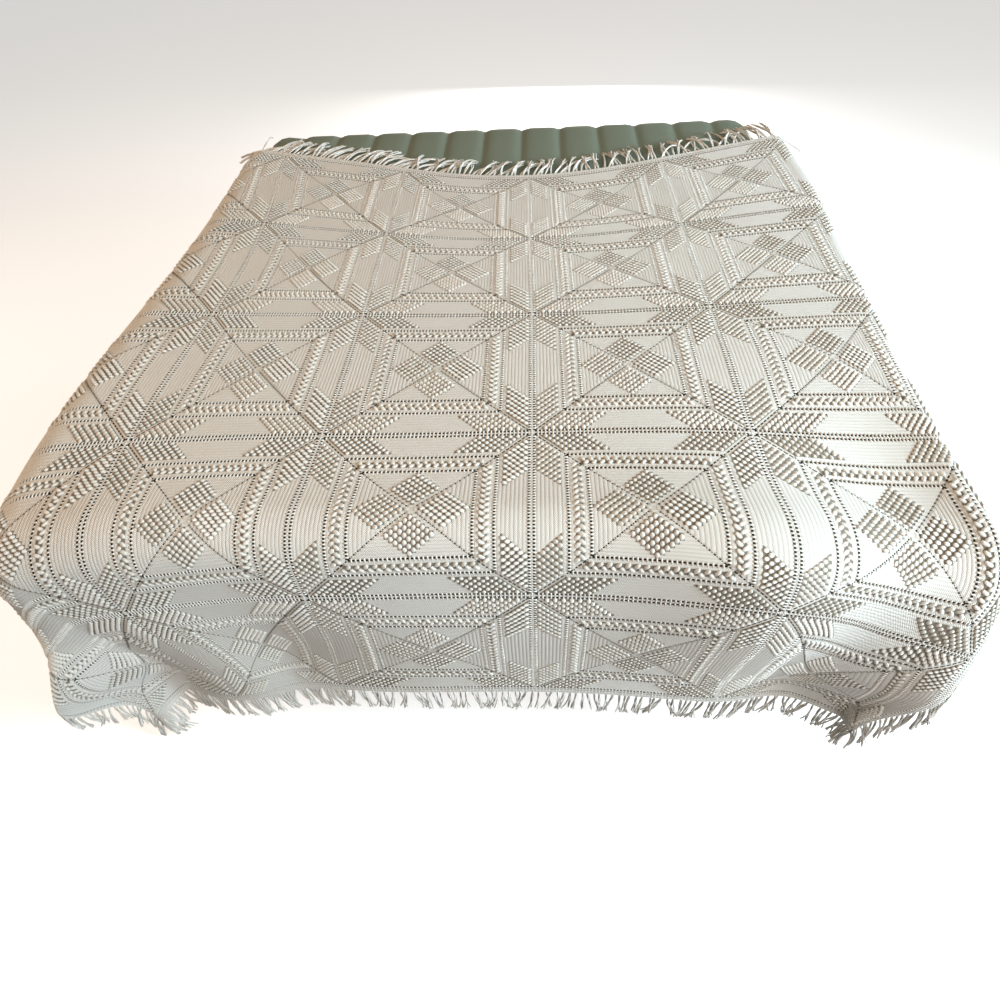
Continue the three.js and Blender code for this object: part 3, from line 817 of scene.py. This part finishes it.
for name, hem_place in HEMS.items():
    shift = chance.uniform(-LOCK_SHIFT, LOCK_SHIFT, LOCKS_PER_SIDE)
    locks = (np.arange(LOCKS_PER_SIDE) + 0.5 + shift) / LOCKS_PER_SIDE
    spots = np.repeat(locks, YARNS_PER_LOCK)
    total = len(spots)
    phase = np.tile(np.arange(YARNS_PER_LOCK) * 2 * math.pi / YARNS_PER_LOCK, LOCKS_PER_SIDE)
    column, row = hem_place(spots)
    normal = cloth_normal(column, row)
    along_hem = unit(drape(*hem_place(spots + HEM_STEP)) - drape(*hem_place(spots - HEM_STEP)))
    out = unit(np.cross(along_hem, normal))
    on_slope = down + normal * normal[:, 2:3]
    on_slope = on_slope / (np.linalg.norm(on_slope, axis=1)[:, None] + SOFT_SLOPE)
    pull = np.where(name in ("front", "right"), down, on_slope)
    lying = (name == "back") & (normal[:, 2] > FLAT_ENOUGH)
    lean = np.where(lying, by_lock(LYING_LEAN) - LYING_DRIFT * spots, by_lock(HANGING_LEAN))
    lean = lean + chance.normal(0, YARN_STRAY, total)
    curl = np.where(lying, 1.0, HANGING_CURL) * by_lock(LOCK_CURL) + chance.normal(0, YARN_CURL, total)
    length = FRINGE_LENGTH * (1 + by_lock(UNEVEN_LENGTH) + chance.normal(0, YARN_STRAY, total))
    length = np.minimum(length, drape(column, row)[:, 2] - TIP_GAP)
    rise = LOOSE_RISE * np.abs(by_lock(UNEVEN_RISE))
    here = drape(column, row) - normal * CLOTH_THICK * ROOT_DEPTH
    line, thickness = [here], [np.full(total, ROOT_THICK)]
    for k in range(1, YARN_POINTS):
        share = k / (YARN_POINTS - 1)
        heading = lean + curl * (k - 1)
        fall = np.where(lying, 0, ROOT_FALL + MORE_FALL * share)[:, None]
        way = out * (1 - fall) + pull * fall
        way = way * np.cos(heading)[:, None] + along_hem * np.sin(heading)[:, None]
        here = here + unit(way) * (length / (YARN_POINTS - 1))[:, None]
        rest = lying_height + LOCK_RADIUS + YARN_RADIUS + rise * math.sin(math.pi * share)
        here[:, 2] = np.where(lying, rest, here[:, 2])
        strand = (phase + LOCK_TWIST * share)[:, None]
        line.append(here + LOCK_RADIUS * (along_hem * np.cos(strand) + normal * np.sin(strand)))
        thickness.append(np.full(total, KNOT_THICK if k == 1 else 1 - TIP_TAPER * share))
    yarn_lines = np.stack(line, 1).reshape(-1, 3)
    starts = np.arange(total) * YARN_POINTS
    yarn_edges = [(s + k, s + k + 1) for s in starts.tolist() for k in range(YARN_POINTS - 1)]
    mesh = bpy.data.meshes.new(f"yarn_lines_{name}")
    mesh.from_pydata([tuple(p) for p in yarn_lines], yarn_edges, [])
    widths = mesh.attributes.new("thickness", "FLOAT", "POINT")
    widths.data.foreach_set("value", np.stack(thickness, 1).ravel())
    lines = bpy.data.objects.new(f"yarn_lines_{name}", mesh)
    bpy.context.scene.collection.objects.link(lines)
    piece = planted(
        f"fringe_yarns_{name}",
        lines,
        yarning,
        **{"Yarn Radius": YARN_RADIUS, "Yarn": raised_cotton},
    )
    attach(piece, "root")
    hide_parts(f"fringe_{name}")


# Mattress: a soft block in a sage-green cover, sewn down in straight channels from head to foot.
# Its rim is rounded, and its two front corners sink where the blanket weighs on them.
RIM = 0.075
CHANNEL = 0.108
SEAM_DEPTH = 0.006
SEAM_SPREAD = 0.012
COVER_SUNK = 0.002
RIM_STEPS = 5
SIDE_STEPS = 4
LONG_STEPS = 24
SINK = 1.15
SINK_ROWS = 3.7
across_mattress = mattress_high[0] - mattress_low[0]
along_mattress = mattress_high[1] - mattress_low[1]
mattress_thick = mattress_high[2] - mattress_low[2]
quarter = RIM * math.pi / 2
side_drop = mattress_thick - 2 * RIM


def wrap_lines(span, inner):
    """Distances across the cover, up one side, over the top and down the other."""
    rim = [quarter * k / RIM_STEPS for k in range(1, RIM_STEPS + 1)]
    side_steps = range(1, SIDE_STEPS + 1)
    fall = [quarter + side_drop * k / SIDE_STEPS for k in side_steps]
    under_rim = [quarter + side_drop + quarter * k / SIDE_STEPS for k in side_steps]
    over = rim + fall + under_rim
    return [-d for d in reversed(over)] + inner + [span + d for d in over]


flat_wide = across_mattress - 2 * RIM
flat_long = along_mattress - 2 * RIM
seams = np.arange(0, int(flat_wide / CHANNEL) + 1) * CHANNEL + 0.5 * (flat_wide % CHANNEL)
channel_shares = (0, 0.04, 0.1, 0.22, 0.4, 0.6, 0.78, 0.9, 0.96)
channel_lines = {round(seam + CHANNEL * share, 5) for seam in seams for share in channel_shares}
top_lines = sorted({0.0, flat_wide} | {line for line in channel_lines if line < flat_wide})
wide_lines = np.array(wrap_lines(flat_wide, top_lines))
long_lines = np.array(wrap_lines(flat_long, [flat_long * k / LONG_STEPS for k in range(LONG_STEPS + 1)]))
go_wide, go_long = np.meshgrid(wide_lines, long_lines)
past_x = np.maximum(go_wide - flat_wide, 0) + np.minimum(go_wide, 0)
past_y = np.maximum(go_long - flat_long, 0) + np.minimum(go_long, 0)
past = np.minimum(np.hypot(past_x, past_y), 2 * quarter + side_drop)
heading = np.arctan2(past_y, past_x)
lower_bend = np.clip(past - quarter - side_drop, 0, quarter) / RIM
upper_bend = np.minimum(past, quarter) / RIM
out = RIM * np.sin(upper_bend) - RIM * (1 - np.cos(lower_bend))
fall = RIM * (1 - np.cos(upper_bend)) + np.clip(past - quarter, 0, side_drop) + RIM * np.sin(lower_bend)
x = np.clip(go_wide, 0, flat_wide) + np.where(past > 0, np.cos(heading) * out, 0) + mattress_low[0] + RIM
y = np.clip(go_long, 0, flat_long) + np.where(past > 0, np.sin(heading) * out, 0) + mattress_low[1] + RIM
near_seam = np.min(np.abs(go_wide[..., None] - seams), -1)
seam_dip = SEAM_DEPTH * np.exp(-((near_seam / SEAM_SPREAD) ** 2)) + COVER_SUNK
z = mattress_high[2] - fall - np.where(past > quarter, 0, seam_dip)
for at_column, at_row, across, along, push in SWELLS:
    if at_row < SINK_ROWS and push[2] < 0:
        column, row = (x - bed[0]) / BLOCK + ANCHOR, ANCHOR - (y - bed[1]) / BLOCK
        bell = np.exp(-((column - at_column) / across) ** 2 - ((row - at_row) / along) ** 2)
        z = z + SINK * BLOCK * push[2] * bell * (z - mattress_low[2]) / mattress_thick
wide_count = len(wide_lines)
grid = (np.arange(len(long_lines) - 1)[:, None] * wide_count + np.arange(wide_count - 1)).ravel()
cover_faces = np.stack((grid, grid + 1, grid + wide_count + 1, grid + wide_count), 1).tolist()
mattress = mesh_piece("mattress_cover", np.stack((x, y, z), -1).reshape(-1, 3), cover_faces)
shell = bmesh.new()
shell.from_mesh(mattress.data)
bmesh.ops.remove_doubles(shell, verts=shell.verts, dist=1e-5)
bmesh.ops.dissolve_degenerate(shell, dist=1e-6, edges=shell.edges)
bmesh.ops.holes_fill(shell, edges=[e for e in shell.edges if e.is_boundary], sides=0)
bmesh.ops.recalc_face_normals(shell, faces=shell.faces)
shell.to_mesh(mattress.data)
shell.free()

sage_cotton, nodes, links, shader = fresh_material("sage_cover")
weave = yarn_bump(sage_cotton, shader, 420, 0.0006)
sage = nodes.new("ShaderNodeMix")
sage.data_type = "RGBA"
sage.inputs["A"].default_value = (0.15, 0.19, 0.145, 1)
sage.inputs["B"].default_value = (0.27, 0.315, 0.25, 1)
links.new(weave, sage.inputs["Factor"])
links.new(sage.outputs["Result"], shader.inputs["Base Color"])
shader.inputs["Roughness"].default_value = 0.9
mattress.data.materials.append(sage_cotton)
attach(mattress, "root")
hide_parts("mattress")


# Base: a pale boarded deck under the mattress on a set-back plinth, with eased edges.
# Both are plain, because the blanket and the bed's own overhang hide them from the foot.
EASE = 0.006
pale_board, nodes, links, shader = fresh_material("pale_board")
place = nodes.new("ShaderNodeTexCoord")
stretch = nodes.new("ShaderNodeMapping")
stretch.inputs["Scale"].default_value = (1.5, 14, 14)
growth = nodes.new("ShaderNodeTexNoise")
growth.inputs["Scale"].default_value = 4
growth.inputs["Detail"].default_value = 5
links.new(place.outputs["Object"], stretch.inputs["Vector"])
links.new(stretch.outputs["Vector"], growth.inputs["Vector"])
wood = nodes.new("ShaderNodeMix")
wood.data_type = "RGBA"
wood.inputs["A"].default_value = (0.46, 0.37, 0.27, 1)
wood.inputs["B"].default_value = (0.60, 0.51, 0.40, 1)
links.new(growth.outputs["Fac"], wood.inputs["Factor"])
links.new(wood.outputs["Result"], shader.inputs["Base Color"])
shader.inputs["Roughness"].default_value = 0.6
for node in ("bed_deck", "bed_plinth"):
    low, high = (np.array(corner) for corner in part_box(node))
    board = bmesh.new()
    bmesh.ops.create_cube(board, size=1.0)
    for vertex in board.verts:
        vertex.co = Vector((low + high) / 2 + np.array(vertex.co) * (high - low))
    bmesh.ops.bevel(board, geom=board.edges, offset=EASE, segments=3, profile=0.5, affect="EDGES")
    mesh = bpy.data.meshes.new(f"{node}_boards")
    board.to_mesh(mesh)
    board.free()
    boards = bpy.data.objects.new(f"{node}_boards", mesh)
    bpy.context.scene.collection.objects.link(boards)
    mesh.materials.append(pale_board)
    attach(boards, "root")
    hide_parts(node)


# Stage: a plain pale floor, cool windows on the right and past the foot, warm lamps high on the left
# and past the foot, and two low lamps that reach only the bed's back and left side.
FLOOR_HALF = 8
floor_corners = [(x * FLOOR_HALF, y * FLOOR_HALF, 0) for x, y in ((-1, -1), (1, -1), (1, 1), (-1, 1))]
floor = mesh_piece("floor", floor_corners, [(0, 1, 2, 3)], smooth=False)
floor_paint, nodes, links, shader = fresh_material("floor_paint")
shader.inputs["Base Color"].default_value = (0.85, 0.85, 0.85, 1)
shader.inputs["Roughness"].default_value = 0.8
shader.inputs["Emission Color"].default_value = (1, 1, 1, 1)
shader.inputs["Emission Strength"].default_value = 0.5
floor.data.materials.append(floor_paint)
floor.visible_diffuse = False

# The sky is a dim warm grey above and darker below, so that the windows and lamps shape the cloth.
HORIZON = 0.15
sky = bpy.data.worlds.new("sky")
sky.use_nodes = True
nodes, links = sky.node_tree.nodes, sky.node_tree.links
ways = nodes.new("ShaderNodeTexCoord")
heights = nodes.new("ShaderNodeSeparateXYZ")
links.new(ways.outputs["Generated"], heights.inputs["Vector"])
dawn = nodes.new("ShaderNodeMapRange")
dawn.inputs["From Min"].default_value = -HORIZON
dawn.inputs["From Max"].default_value = HORIZON
links.new(heights.outputs["Z"], dawn.inputs["Value"])
dome_light = nodes.new("ShaderNodeMix")
dome_light.data_type = "RGBA"
dome_light.inputs["A"].default_value = (0.03, 0.024, 0.018, 1)
dome_light.inputs["B"].default_value = (0.17, 0.156, 0.132, 1)
links.new(dawn.outputs["Result"], dome_light.inputs["Factor"])
links.new(dome_light.outputs["Result"], nodes["Background"].inputs["Color"])
bpy.context.scene.world = sky

# Lights: name, place from the point that the drape is measured from, size in metres, colour and watts.
AIM = Vector((-0.1, 0.3, 0))
for name, offset, size, colour, watts in (
    ("near_window", (2.8, -0.9, 1.0), 0.8, (0.68, 0.89, 1.0), 108),
    ("high_window", (4.0, 0.6, 3.2), 2.0, (0.80, 0.95, 1.0), 20),
    ("back_window", (2.4, 1.9, 0.9), 0.8, (0.85, 0.95, 1.0), 16),
    ("back_lamp", (0.2, 4.0, -0.3), 0.6, (1.0, 0.97, 0.92), 60),
    ("side_lamp", (-4.2, 0.4, -0.3), 0.6, (1.0, 0.88, 0.74), 34),
    ("foot_window", (3.0, -3.4, 0.6), 1.4, (0.97, 0.98, 1.0), 78),
    ("left_lamp", (-3.0, 0.4, 3.0), 2.0, (1.0, 0.56, 0.25), 46),
    ("foot_lamp", (1.0, -2.6, 3.2), 2.0, (1.0, 0.87, 0.72), 50),
):
    lamp = bpy.data.lights.new(name, "AREA")
    lamp.shape = "DISK"
    lamp.size = size
    lamp.color = colour
    lamp.energy = watts
    light = bpy.data.objects.new(name, lamp)
    light.location = Vector(bed) + Vector(offset)
    light.rotation_euler = (AIM - Vector(offset)).to_track_quat("-Z", "Y").to_euler()
    light.visible_camera = False
    bpy.context.scene.collection.objects.link(light)

bpy.context.scene.view_settings.view_transform = "Standard"
